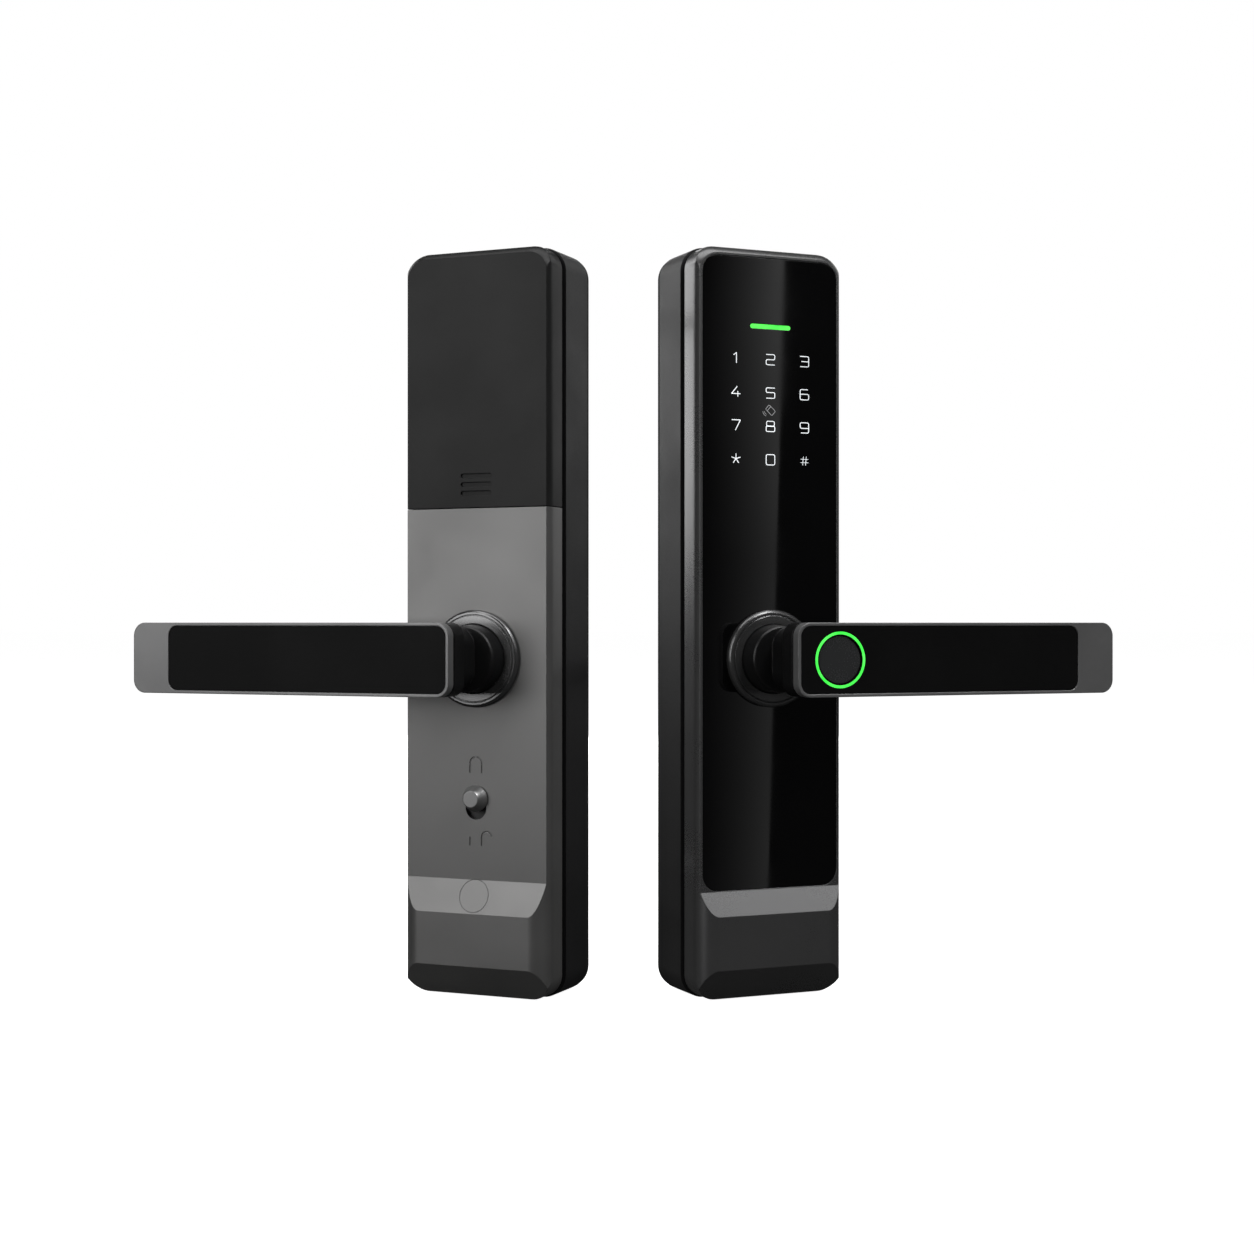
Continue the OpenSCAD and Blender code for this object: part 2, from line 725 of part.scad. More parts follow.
module digit(n) {
    x = (digit_w - digit_line) / 2;
    z = (digit_h - digit_line) / 2;
    ends = [
        [[-x, z], [x, z]], [[x, z], [x, 0]], [[x, 0], [x, -z]], [[x, -z], [-x, -z]],
        [[-x, -z], [-x, 0]], [[-x, 0], [-x, z]], [[-x, 0], [x, 0]]
    ];
    for (bar = digit_bars[n])
        line(ends[bar][0], ends[bar][1]);
}

// An upright or level line with square ends, between two points.
module line(a, b)
    translate([min(a[0], b[0]) - digit_line / 2, min(a[1], b[1]) - digit_line / 2])
        square([abs(a[0] - b[0]) + digit_line, abs(a[1] - b[1]) + digit_line]);

module star()
    for (turn = [30, 90, 150])
        rotate(turn) square([digit_h * 0.85, digit_line], center = true);

module hash()
    for (side = [-1, 1]) {
        translate([side * digit_w / 5, 0]) square([digit_line, digit_h * 0.8], center = true);
        translate([0, side * digit_w / 5]) square([digit_w, digit_line], center = true);
    }

module buzzer()
    color("#222222") at_outside() difference() {
        rod(buzzer_r, floor_front, floor_front + 7, buzzer_x, buzzer_z);
        rod(1, floor_front + 5, floor_front + 8, buzzer_x, buzzer_z);
    }

// Space of the emergency power socket, grown by d on every side, from height z0 to z1.
module socket_space(d, z0, z1)
    block([socket_x - socket[0] / 2 - d, socket_depth - socket[1] / 2 - d, z0],
        [socket_x + socket[0] / 2 + d, socket_depth + socket[1] / 2 + d, z1]);

module emergency_power_socket()
    color("#9da1a6") at_outside() difference() {
        socket_space(0, 0.2, socket[2]);
        socket_space(-socket_wall, -1, socket[2] - 1);
    }

module outside_rosette()
    color("#8b8d90") at_outside() rosette(glass_front);

module outside_bush()
    color("#b08d4a") at_outside() bush();

module outside_return_spring()
    color("#c9c9c9") at_outside() return_spring();

module outside_hub()
    color("#9a9a9e") at_outside() hub()
        rod(spindle_head_r + run_clear, hub_back - 1, hub_bore_front, 0, axis_z);

module outside_circlip()
    color("#55565a") at_outside() circlip();

module outside_stop_cam()
    color("#8d8f94") at_outside() stop_cam();

module outside_lever()
    color("#6a6c70") at_outside() lever_casting(true);

module outside_lever_inlay()
    color("#1b1c1e") at_outside() difference() {
        lever_inlay();
        rod(ring_r + run_clear, inlay_back - 1, inlay_front + 1, sensor_x, axis_z);
    }

module outside_set_screw()
    color("#4a4a4c") at_outside() set_screw();

module fingerprint_ring()
    color("#46e03f") at_outside() difference() {
        rod(ring_r, ring_back, inlay_front, sensor_x, axis_z);
        rod(ring_r - ring_w, ring_back - 1, inlay_front + 1, sensor_x, axis_z);
    }

module fingerprint_sensor()
    color("#3f4144") at_outside() {
        rod(ring_r - ring_w - 0.1, ring_back, sensor_front - 1, sensor_x, axis_z);
        rod(sensor_r, sensor_front - 1 - eps, sensor_front, sensor_x, axis_z);
    }

module fingerprint_board()
    color("#1e5a36") at_outside() {
        rod(ring_r - 1, ring_back - drop_clear - 1.2, ring_back - drop_clear, sensor_x, axis_z);
        block([sensor_x - 3, sensor_board_back, axis_z - 4],
            [sensor_x + 3, ring_back - 1.3, axis_z + 4]);
    }

// The square bar that turns the lock in the door, with a round head that runs in the hub.
module spindle()
    color("#b9bbc0") at_outside() union() {
        rod(spindle_head_r, spindle_w[0], spindle_w[1], 0, axis_z);
        block([-spindle_side / 2, -spindle_reach, axis_z - spindle_side / 2],
            [spindle_side / 2, spindle_w[0] + 1, axis_z + spindle_side / 2]);
    }

// Plastic saddle that holds the clutch motor on the base's floor and guides its screw.
module clutch_bracket()
    color("#2b2d30") at_outside() difference() {
        union() {
            block([-bracket_half_w, floor_front, motor_z[0] - 1],
                [bracket_half_w, clutch_w, motor_z[1]]);
            block([-bracket_half_w, floor_front, motor_z[0] - 3],
                [bracket_half_w, clutch_w + motor_r, motor_z[0] - 1]);
        }
        translate([0, -clutch_w, motor_z[0] - 1]) cylinder(r = motor_r + run_clear, h = 40);
    }

module clutch_motor()
    color("#c2c4c8") at_outside() {
        translate([0, -clutch_w, motor_z[0] - 1]) cylinder(r = motor_r, h = motor_z[1] - motor_z[0]);
        translate([0, -clutch_w, motor_z[1] - 1 - eps]) cylinder(r = 2, h = 0.8);
    }

// The motor's lead screw, with a thread drawn as rings.
module clutch_screw()
    color("#d8b45a") at_outside() translate([0, -clutch_w, motor_z[1] + 0.1]) {
        cylinder(r = screw_r - 0.3, h = 14);
        for (i = [0 : 11])
            translate([0, 0, 1 + i * 1.05]) cylinder(r = screw_r, h = 0.5);
    }

// The nut on the lead screw: its nose rises to engage the clutch under the cam.
module clutch_slider()
    color("#e9e6dd") at_outside() difference() {
        union() {
            block([-clutch_half_w, clutch_w - 3, nut_z[0]],
                [clutch_half_w, clutch_w + 4, nut_z[1]]);
            block([-clutch_half_w, clutch_w + 2.2, nut_z[0]],
                [clutch_half_w, clutch_w + 4, nose_top - 1.5]);
            block([-clutch_half_w, clutch_w - 1.6, nose_top - 2],
                [clutch_half_w, clutch_w + 4, nose_top]);
        }
        translate([0, -clutch_w, nut_z[0] - 1])
            cylinder(r = screw_r + run_clear, h = nut_z[1] - nut_z[0] + 2);
    }

// ---------------------------------------------------------------- inside unit

module inside_gasket()
    color("#151515") at_inside() gasket();

module inside_base()
    color("#2c2d2f") at_inside() base_tray(bolt_r + 0.4, inside_screws);

// The lower shell: the metal plate that wraps round the sides, with the slider's slot and icons.
module inside_shell()
    color("#77797c") at_inside() difference() {
        union() {
            difference() {
                shell_form(inside_slope_z, 0, 0, shell_back);
                shell_form(inside_slope_z, wall, wall, shell_back - 1);
            }
            intersection() {
                rod(cap_r + 2, base_front, chin_front, 0, bolt_low_z);
                shell_form(inside_slope_z, wall / 2, wall / 2, base_front - 1);
            }
            shell_bosses(inside_slope_z, inside_screws);
        }
        block([-unit_w, 0, cover_z], [unit_w, chin_front + 1, unit_h + 1]);
        rod(sleeve_hole_r, shell_back, shell_front + 1, 0, axis_z);
        rod(cap_r + run_clear, base_front - 1, chin_front + 1, 0, bolt_low_z);
        out(shell_back, shell_front + 1) slot_outline(0);
        out(shell_front - 0.3, shell_front + 1) {
            closed_padlock();
            open_padlock();
        }
        shell_boss_holes(inside_screws);
    }

// The slider's slot, with round ends.
module slot_outline(d)
    rounded([d - slot_r, slider_z - slider_travel - slot_r + d], [slot_r - d, slider_z + slot_r - d],
        slot_r - d - eps, slot_r - d - eps);

icon_line = 0.55;
icon_r = 2.6;

// An arc of the icon's line width, through the angles from a0 to a1.
module arc(r, a0, a1)
    intersection() {
        difference() {
            circle(r = r + icon_line / 2);
            circle(r = r - icon_line / 2);
        }
        polygon([[0, 0], for (i = [0 : 8]) let (a = a0 + (a1 - a0) * i / 8) 2 * r * [cos(a), sin(a)]]);
    }

module closed_padlock()
    translate([0, slider_z + 13.8]) {
        arc(icon_r, 100, 180);
        arc(icon_r, 0, 80);
        for (side = [-1, 1])
            translate([side * icon_r - icon_line / 2, -3.6]) square([icon_line, 3.2]);
    }

module open_padlock()
    translate([0, slider_z - 16.4]) {
        for (side = [-1, 1])
            translate([side * icon_r - icon_line / 2, -2.4]) square([icon_line, 3.4]);
        translate([-2 * icon_r + 0.4, 1]) arc(icon_r - 0.4, 0, 170);
    }

module inside_case_screws()
    color("#b8b8b8") at_inside() case_screws(inside_screws);

// The two long bolts that clamp the units through the door.
module through_bolts()
    color("#c4c6ca") at_inside()
        for (z = [bolt_low_z, bolt_high_z])
            difference() {
                union() {
                    rod(bolt_r, -bolt_reach, 1, 0, z);
                    rod(bolt_r + 0.2, 0, floor_front + 1, 0, z);
                    rod(bolt_r * 1.7, floor_front, floor_front + 3.4, 0, z);
                }
                translate([0, -floor_front - 1.2, z]) rotate([90, 0, 0])
                    cylinder(r = bolt_r * 0.93, h = 5, $fn = 6);
            }

// The cover over the batteries: it slides up, and has three finger grooves above its lower edge.
module battery_cover()
    color("#232426") at_inside() difference() {
        intersection() {
            difference() {
                shell_form(inside_slope_z, 0, 0, shell_back);
                shell_form(inside_slope_z, wall, wall, shell_back - 1);
            }
            block([-unit_w, 0, cover_z + cover_gap], [unit_w, chin_front + 1, unit_h + 1]);
        }
        for (i = [0 : 2])
            out(shell_front - 0.7, shell_front + 1)
                rounded([-6.8, cover_z + 5.2 + 3.45 * i], [6.8, cover_z + 7 + 3.45 * i], 0.89, 0.89);
    }

// The tray that holds the batteries lying across the unit, open to the front.
module battery_tray()
    color("#2f3134") at_inside() {
        difference() {
            block([-tray_half_w, tray_back, tray_low], [tray_half_w, tray_front, tray_high]);
            block([-tray_inner, tray_floor, tray_low + tray_wall],
                [tray_inner, tray_front + 1, tray_high - tray_wall]);
        }
        for (i = [0 : cells - 2])
            block([-tray_inner - eps, tray_floor - eps, cell_z + (i + 0.5) * cell_pitch - 0.4],
                [tray_inner + eps, cell_w - 1, cell_z + (i + 0.5) * cell_pitch + 0.4]);
        for (x = [-1, 1], z = [tray_low + 6, tray_high - 6])
            rod(2.5, floor_front, tray_back + eps, x * (tray_half_w - 5), z);
    }

// Direction of a battery's nub, which alternates so that the cells are in series.
function nub_side(i) = i % 2 == 0 ? 1 : -1;

// Space for the spring at a battery's flat end.
spring_room = 2 * tray_inner - cell_l - contact_t - 0.3;

// Battery number i, counted from below, lies along X with its nub against the flat contact.
module battery(i)
    color(i % 2 == 0 ? "#3d4f63" : "#454f5a") at_inside()
        translate([0, -cell_w, cell_z + i * cell_pitch])
            mirror([nub_side(i) < 0 ? 1 : 0, 0, 0])
                translate([tray_inner - contact_t - 0.15 - cell_l, 0, 0]) rotate([0, 90, 0]) {
                    cylinder(r = cell_r, h = cell_l - nub_l);
                    cylinder(r = 2.7, h = cell_l);
                }

module battery_1() battery(0);
module battery_2() battery(1);
module battery_3() battery(2);
module battery_4() battery(3);

module battery_springs()
    color("#d9d9d9") at_inside()
        for (i = [0 : cells - 1])
            translate([0, -cell_w, cell_z + i * cell_pitch])
                mirror([nub_side(i) < 0 ? 1 : 0, 0, 0])
                    translate([-tray_inner + 0.05, 0, 0]) rotate([0, 90, 0])
                        coil(3.6, 0.35, spring_room - 0.1, 2.5, 14, 6);

module battery_contacts()
    color("#cfc7a8") at_inside()
        for (i = [0 : cells - 1])
            translate([0, -cell_w, cell_z + i * cell_pitch])
                mirror([nub_side(i) < 0 ? 1 : 0, 0, 0])
                    translate([tray_inner - contact_t, -5, -5]) cube([contact_t, 10, 10]);

// Circuit board of the inside unit, between the lever's tower and the batteries.
module inside_main_board()
    color("#1e5a36") at_inside() {
        out(floor_front + 4, floor_front + 4 + board_t)
            rounded([-26, axis_z + 18], [26, tray_low - 2], 2, 2);
        block([-8, floor_front + 4 + board_t - eps, axis_z + 38],
            [8, floor_front + 7, axis_z + 50]);
        block([-8, floor_front + 4 + board_t - eps, axis_z + 22],
            [8, floor_front + 11, axis_z + 29]);
        for (x = [-18, 14])
            rod(3, floor_front + 4 + board_t - eps, floor_front + 13, x, axis_z + 34);
        for (x = [-1, 1], z = [axis_z + 22, tray_low - 6])
            rod(2, floor_front, floor_front + 4 + eps, x * 22, z);
    }

module inside_rosette()
    color("#8b8d90") at_inside() rosette(shell_front);

module inside_bush()
    color("#b08d4a") at_inside() bush();

module inside_return_spring()
    color("#c9c9c9") at_inside() return_spring();

module inside_hub()
    color("#9a9a9e") at_inside() hub()
        block([-square_socket / 2, hub_back - 1, axis_z - square_socket / 2],
            [square_socket / 2, hub_bore_front, axis_z + square_socket / 2]);

module inside_circlip()
    color("#55565a") at_inside() circlip();

module inside_stop_cam()
    color("#8d8f94") at_inside() stop_cam();

module inside_lever()
    color("#8b8d90") at_inside() lever_casting(false);

module inside_lever_inlay()
    color("#27282a") at_inside() lever_inlay();

module inside_set_screw()
    color("#4a4a4c") at_inside() set_screw();

// The knob of the locking slider, turned on its own axis, and its stem through the slot.
module lock_slider()
    color("#8f9194") at_inside() translate([0, 0, slider_z]) rotate([90, 0, 0]) rotate_extrude()
        polygon([
            [0, slider_wall_back - 0.2], [stem_r, slider_wall_back - 0.2],
            [stem_r, shell_front + 0.3], [knob_foot_r, shell_front + 0.3],
            [knob_foot_r, shell_front + 0.9], [knob_r, knob_front - 0.5],
            [knob_r - 0.4, knob_front], [0, knob_front]
        ]);

// The plate behind the slot that carries the knob's stem.
module slider_plate()
    color("#35373a") at_inside()
        out(slider_wall_back - 0.2 - slider_plate_t, slider_wall_back - 0.2)
            rounded([-8, slider_z - 9], [8, slider_z + 9], 2, 2);

// The guide behind the plate, fixed to the shell's inner face on both sides of the plate.
module slider_guide()
    color("#d8d8d2") at_inside() {
        guide_front = slider_wall_back - 0.2 - slider_plate_t - 0.2;
        block([-13, guide_front - 1.6, slider_z - 16], [13, guide_front, slider_z + 12]);
        for (x = [-13, 8.4])
            block([x, guide_front - eps, slider_z - 16], [x + 4.6, slider_wall_back, slider_z + 12]);
    }

module slider_switch()
    color("#1d1d1f") at_inside() {
        back = slider_wall_back - slider_plate_t - 2;
        block([-6.4, back - 7, slider_z - 10], [6.4, back, slider_z + 4]);
        block([-1, back - 3.5, slider_z + 4 - eps], [1, back - 1.5, slider_z + 5.2]);
    }

// The round cap over the lower bolt, cut flush with the sloping front.
module screw_cap()
    color("#a2a4a7") at_inside() intersection() {
        rod(cap_r, shell_back + 1, chin_front + 1, 0, bolt_low_z);
        shell_form(inside_slope_z, 0, 0, shell_back);
    }

// ---------------------------------------------------------------- assembly

outside_gasket();
outside_base();
outside_shell();
outside_case_screws();
mounting_posts();
glass_panel();
keypad_light_guide();
keypad_board();
keypad_legends();
status_light_bar();
buzzer();
emergency_power_socket();
outside_rosette();
outside_bush();
outside_return_spring();
outside_hub();
outside_circlip();
outside_stop_cam();
outside_lever();
outside_lever_inlay();
outside_set_screw();
fingerprint_ring();
fingerprint_sensor();
fingerprint_board();
spindle();
clutch_bracket();
clutch_motor();
clutch_screw();
clutch_slider();
inside_gasket();
inside_base();
inside_shell();
inside_case_screws();
through_bolts();
battery_cover();
battery_tray();
battery_1();
battery_2();
battery_3();
battery_4();
battery_springs();
battery_contacts();
inside_main_board();
inside_rosette();
inside_bush();
inside_return_spring();
inside_hub();
inside_circlip();
inside_stop_cam();
inside_lever();
inside_lever_inlay();
inside_set_screw();
lock_slider();
slider_plate();
slider_guide();
slider_switch();
screw_cap();
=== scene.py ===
import math

import bpy
from mathutils import Matrix, Vector


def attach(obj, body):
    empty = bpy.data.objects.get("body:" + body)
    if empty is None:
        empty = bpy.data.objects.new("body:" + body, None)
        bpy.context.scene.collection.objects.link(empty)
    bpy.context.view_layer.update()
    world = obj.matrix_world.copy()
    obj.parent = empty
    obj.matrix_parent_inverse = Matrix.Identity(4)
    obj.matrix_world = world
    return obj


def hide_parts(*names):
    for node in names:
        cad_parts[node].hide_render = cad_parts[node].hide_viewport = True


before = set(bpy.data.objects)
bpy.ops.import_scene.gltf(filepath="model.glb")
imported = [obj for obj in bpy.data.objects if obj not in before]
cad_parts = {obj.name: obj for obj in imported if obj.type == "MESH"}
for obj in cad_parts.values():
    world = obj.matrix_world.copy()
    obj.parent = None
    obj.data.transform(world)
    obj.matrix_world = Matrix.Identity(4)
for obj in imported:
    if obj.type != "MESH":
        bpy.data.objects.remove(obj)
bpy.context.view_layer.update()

# ------------------------------------------------------------------ places in the frame

# Distances in a unit are in millimetres: u is sideways, w outward from its back, z upward.
MM = 0.001
TURN = math.radians(23)
UNIT_X, UNIT_Y = 44.2, 5.9333
AXIS_Z = 135.6
GLASS_FRONT = 37.0
SLAB_BACK = 67.8
SENSOR_X = 12.3
RING_LIT_IN, RING_LIT_OUT = 9.85, 10.9
OUTWARD = Vector((math.sin(TURN), -math.cos(TURN), 0))


def place(side, u, w, z):
    """A point of a unit, from its sideways, outward and upward distances in millimetres."""
    x = UNIT_X + u * math.cos(TURN) + w * math.sin(TURN)
    y = UNIT_Y + u * math.sin(TURN) - w * math.cos(TURN)
    return Vector((x if side == "outside" else -x, y, z)) * MM


# ------------------------------------------------------------------ nodes

NOISE_RANGE = (0.3, 0.7)


def shader(name):
    m = bpy.data.materials.new(name)
    m.use_nodes = True
    nodes, links = m.node_tree.nodes, m.node_tree.links
    bsdf = nodes["Principled BSDF"]
    coords = nodes.new("ShaderNodeTexCoord").outputs["Object"]
    return m, nodes, links, bsdf, coords


def noise(nodes, links, coords, scale, detail=3.0, stretch=None):
    source = coords
    if stretch:
        mapping = nodes.new("ShaderNodeMapping")
        mapping.inputs["Scale"].default_value = stretch
        links.new(coords, mapping.inputs["Vector"])
        source = mapping.outputs["Vector"]
    n = nodes.new("ShaderNodeTexNoise")
    n.inputs["Scale"].default_value = scale
    n.inputs["Detail"].default_value = detail
    links.new(source, n.inputs["Vector"])
    return n.outputs["Fac"]


def spread(nodes, links, value, low, high, span=NOISE_RANGE):
    """Maps the stretch span of a value, for a noise its middle, to the range from low to high."""
    r = nodes.new("ShaderNodeMapRange")
    r.inputs["From Min"].default_value, r.inputs["From Max"].default_value = span
    r.inputs["To Min"].default_value, r.inputs["To Max"].default_value = low, high
    links.new(value, r.inputs["Value"])
    return r.outputs["Result"]


def tint(nodes, links, value, dark, light):
    """Maps a noise value's middle range to the colours from dark to light."""
    ramp = nodes.new("ShaderNodeValToRGB")
    for stop, colour, at in zip(ramp.color_ramp.elements, (dark, light), NOISE_RANGE):
        stop.color = (*colour, 1)
        stop.position = at
    links.new(value, ramp.inputs["Fac"])
    return ramp.outputs["Color"]


def arithmetic(nodes, links, operation, *values):
    """The result of a Math node, whose values are sockets or plain numbers."""
    node = nodes.new("ShaderNodeMath")
    node.operation = operation
    for socket, value in zip(node.inputs, values):
        if isinstance(value, (int, float)):
            socket.default_value = value
        else:
            links.new(value, socket)
    return node.outputs[0]


def vector(nodes, links, operation, value, other=(0, 0, 0)):
    """The result of a Vector Math node on a socket and a plain vector."""
    node = nodes.new("ShaderNodeVectorMath")
    node.operation = operation
    node.inputs[1].default_value = other
    links.new(value, node.inputs[0])
    return node.outputs["Value" if operation in ("LENGTH", "DOT_PRODUCT") else "Vector"]


def choose(nodes, links, mask, off, on):
    """The colour off where the mask is 0 and on where it is 1. Off may be a plain colour."""
    mix = nodes.new("ShaderNodeMix")
    mix.data_type = "RGBA"
    colour_a, colour_b, result = mix.inputs[6], mix.inputs[7], mix.outputs[2]
    links.new(mask, mix.inputs["Factor"])
    if isinstance(off, tuple):
        colour_a.default_value = (*off, 1)
    else:
        links.new(off, colour_a)
    links.new(on, colour_b)
    return result


def camera_sees(nodes, links, seen, unseen, surface):
    """Gives the camera's own rays one shader and every other ray another."""
    rays = nodes.new("ShaderNodeLightPath")
    pick = nodes.new("ShaderNodeMixShader")
    links.new(rays.outputs["Is Camera Ray"], pick.inputs["Fac"])
    links.new(unseen.outputs[0], pick.inputs[1])
    links.new(seen.outputs[0], pick.inputs[2])
    links.new(pick.outputs[0], surface)


# ------------------------------------------------------------------ materials

EDGE_SAMPLES = 6
COAT_ROUGHNESS = 0.12
GLASS_IOR = 1.5
FLICKER = 0.15


def finish_normal(nodes, links, bsdf, height, depth, edge):
    """Rounds the piece's edges in shading and lays the surface's grain over them."""
    bevel = nodes.new("ShaderNodeBevel")
    bevel.samples = EDGE_SAMPLES
    bevel.inputs["Radius"].default_value = edge * MM
    bump = nodes.new("ShaderNodeBump")
    bump.inputs["Distance"].default_value = depth * MM
    bump.inputs["Strength"].default_value = 1.0
    links.new(height, bump.inputs["Height"])
    links.new(bevel.outputs["Normal"], bump.inputs["Normal"])
    links.new(bump.outputs["Normal"], bsdf.inputs["Normal"])


def coated(name, colour, rough, metallic=0.0, grain=2600, depth=0.004, vary=0.12, rough_vary=0.05,
           edge=0.35, coat=0.0, stretch=None, specular=0.5):
    """A painted, moulded, ground or plated surface: slight changes of shade and gloss, and a grain."""
    m, nodes, links, bsdf, coords = shader(name)
    broad = noise(nodes, links, coords, scale=28, detail=4.0)
    fine = noise(nodes, links, coords, scale=grain, detail=2.0, stretch=stretch)
    dark = tuple(c * (1 - vary) for c in colour)
    light = tuple(min(1.0, c * (1 + vary)) for c in colour)
    links.new(tint(nodes, links, broad, dark, light), bsdf.inputs["Base Color"])
    rough_broad = spread(nodes, links, broad, -rough_vary, rough_vary)
    rough_fine = spread(nodes, links, fine, rough - rough_vary / 2, rough + rough_vary / 2)
    roughness = arithmetic(nodes, links, "ADD", rough_broad, rough_fine)
    links.new(roughness, bsdf.inputs["Roughness"])
    bsdf.inputs["Metallic"].default_value = metallic
    bsdf.inputs["Specular IOR Level"].default_value = specular
    bsdf.inputs["Coat Weight"].default_value = coat
    bsdf.inputs["Coat Roughness"].default_value = COAT_ROUGHNESS
    finish_normal(nodes, links, bsdf, fine, depth, edge)
    return m


def glowing(name, colour, strength, core):
    """Light behind a diffuser: a little brighter in some places than in others."""
    m, nodes, links, bsdf, coords = shader(name)
    cloud = noise(nodes, links, coords, scale=160, detail=2.0)
    glow = tint(nodes, links, cloud, colour, core)
    links.new(glow, bsdf.inputs["Emission Color"])
    links.new(glow, bsdf.inputs["Base Color"])
    power = spread(nodes, links, cloud, strength * (1 - FLICKER), strength * (1 + FLICKER))
    links.new(power, bsdf.inputs["Emission Strength"])
    roughness = spread(nodes, links, noise(nodes, links, coords, scale=1800), 0.3, 0.45)
    links.new(roughness, bsdf.inputs["Roughness"])
    return m


def ring_glow(name, colour, strength, core):
    """A lit ring whose inner and outer edges are masked black, as a thin line of light."""
    m = glowing(name, colour, strength, core)
    nodes, links = m.node_tree.nodes, m.node_tree.links
    bsdf = nodes["Principled BSDF"]
    coords = nodes.new("ShaderNodeTexCoord").outputs["Object"]
    centre = place("outside", SENSOR_X, 0, AXIS_Z)
    from_centre = vector(nodes, links, "SUBTRACT", coords, centre)
    from_axis = vector(nodes, links, "CROSS_PRODUCT", from_centre, OUTWARD)
    radius = vector(nodes, links, "LENGTH", from_axis)
    middle = (RING_LIT_IN + RING_LIT_OUT) / 2 * MM
    reach = (RING_LIT_OUT - RING_LIT_IN) / 2 * MM
    lit = arithmetic(nodes, links, "COMPARE", radius, middle, reach)
    for unlit, socket in (((0.004, 0.004, 0.004), bsdf.inputs["Base Color"]),
                          ((0, 0, 0), bsdf.inputs["Emission Color"])):
        glow = socket.links[0].from_socket
        links.new(choose(nodes, links, lit, unlit, glow), socket)
    return m


def glass_black(name):
    """Back-painted glass: a clear polished face over deep black, with the faintest haze."""
    m, nodes, links, bsdf, coords = shader(name)
    haze = noise(nodes, links, coords, scale=22, detail=5.0)
    paint = tint(nodes, links, haze, (0.0012, 0.0012, 0.0013), (0.0022, 0.0022, 0.0024))
    links.new(paint, bsdf.inputs["Base Color"])
    links.new(spread(nodes, links, haze, 0.015, 0.045), bsdf.inputs["Roughness"])
    bsdf.inputs["IOR"].default_value = GLASS_IOR
    ripple = noise(nodes, links, coords, scale=60, detail=1.0)
    finish_normal(nodes, links, bsdf, ripple, depth=0.0015, edge=0.25)
    return m


def lever_with_painted_shade(side):
    """A lever painted near black behind its groove, as painted shade on its boss and neck; its front
    slab, ahead of the groove, is a lighter satin grey.
    """
    m = coated("lever_painted_shade_" + side, (0.014, 0.014, 0.0145), 0.34, metallic=0.5, grain=3200,
               depth=0.002, edge=0.6)
    nodes, links = m.node_tree.nodes, m.node_tree.links
    coords = nodes.new("ShaderNodeTexCoord").outputs["Object"]
    outward = (place(side, 0, 1, 0) - place(side, 0, 0, 0)) / MM
    distance = vector(nodes, links, "DOT_PRODUCT", coords, outward)
    slab_back = place(side, 0, SLAB_BACK, 0).dot(outward)
    in_slab = arithmetic(nodes, links, "GREATER_THAN", distance, slab_back)
    base = nodes["Principled BSDF"].inputs["Base Color"]
    painted_shade_colour = base.links[0].from_socket
    shade = noise(nodes, links, coords, scale=34, detail=4.0)
    ground = tint(nodes, links, shade, (0.17, 0.17, 0.171), (0.21, 0.21, 0.211))
    # Painted shade: everything behind the slab keeps the near-black colour, standing in for the shade
    # on the boss and neck.
    links.new(choose(nodes, links, in_slab, painted_shade_colour, ground), base)
    return m


def circuit(name):
    """Solder mask over copper tracks."""
    m, nodes, links, bsdf, coords = shader(name)
    tracks = nodes.new("ShaderNodeTexBrick")
    tracks.inputs["Scale"].default_value = 220
    tracks.inputs["Mortar Size"].default_value = 0.03
    tracks.inputs["Color1"].default_value = (0.012, 0.085, 0.03, 1)
    tracks.inputs["Color2"].default_value = (0.016, 0.1, 0.04, 1)
    tracks.inputs["Mortar"].default_value = (0.05, 0.2, 0.07, 1)
    upright = nodes.new("ShaderNodeMapping")
    upright.inputs["Rotation"].default_value = (math.pi / 2, 0, 0)
    links.new(coords, upright.inputs["Vector"])
    links.new(upright.outputs["Vector"], tracks.inputs["Vector"])
    links.new(tracks.outputs["Color"], bsdf.inputs["Base Color"])
    roughness = spread(nodes, links, noise(nodes, links, coords, scale=300), 0.25, 0.4)
    links.new(roughness, bsdf.inputs["Roughness"])
    finish_normal(nodes, links, bsdf, tracks.outputs["Fac"], depth=0.03, edge=0.15)
    return m


def cell_wrap(name, body):
    """A battery's metallic film, with slight changes of shade and fine creases."""
    m, nodes, links, bsdf, coords = shader(name)
    cloud = noise(nodes, links, coords, scale=40)
    shaded = tuple(c * 0.85 for c in body)
    links.new(tint(nodes, links, cloud, shaded, body), bsdf.inputs["Base Color"])
    roughness = spread(nodes, links, noise(nodes, links, coords, scale=400), 0.22, 0.36)
    links.new(roughness, bsdf.inputs["Roughness"])
    bsdf.inputs["Metallic"].default_value = 0.55
    creases = noise(nodes, links, coords, scale=240, detail=4.0)
    finish_normal(nodes, links, bsdf, creases, depth=0.02, edge=0.4)
    return m


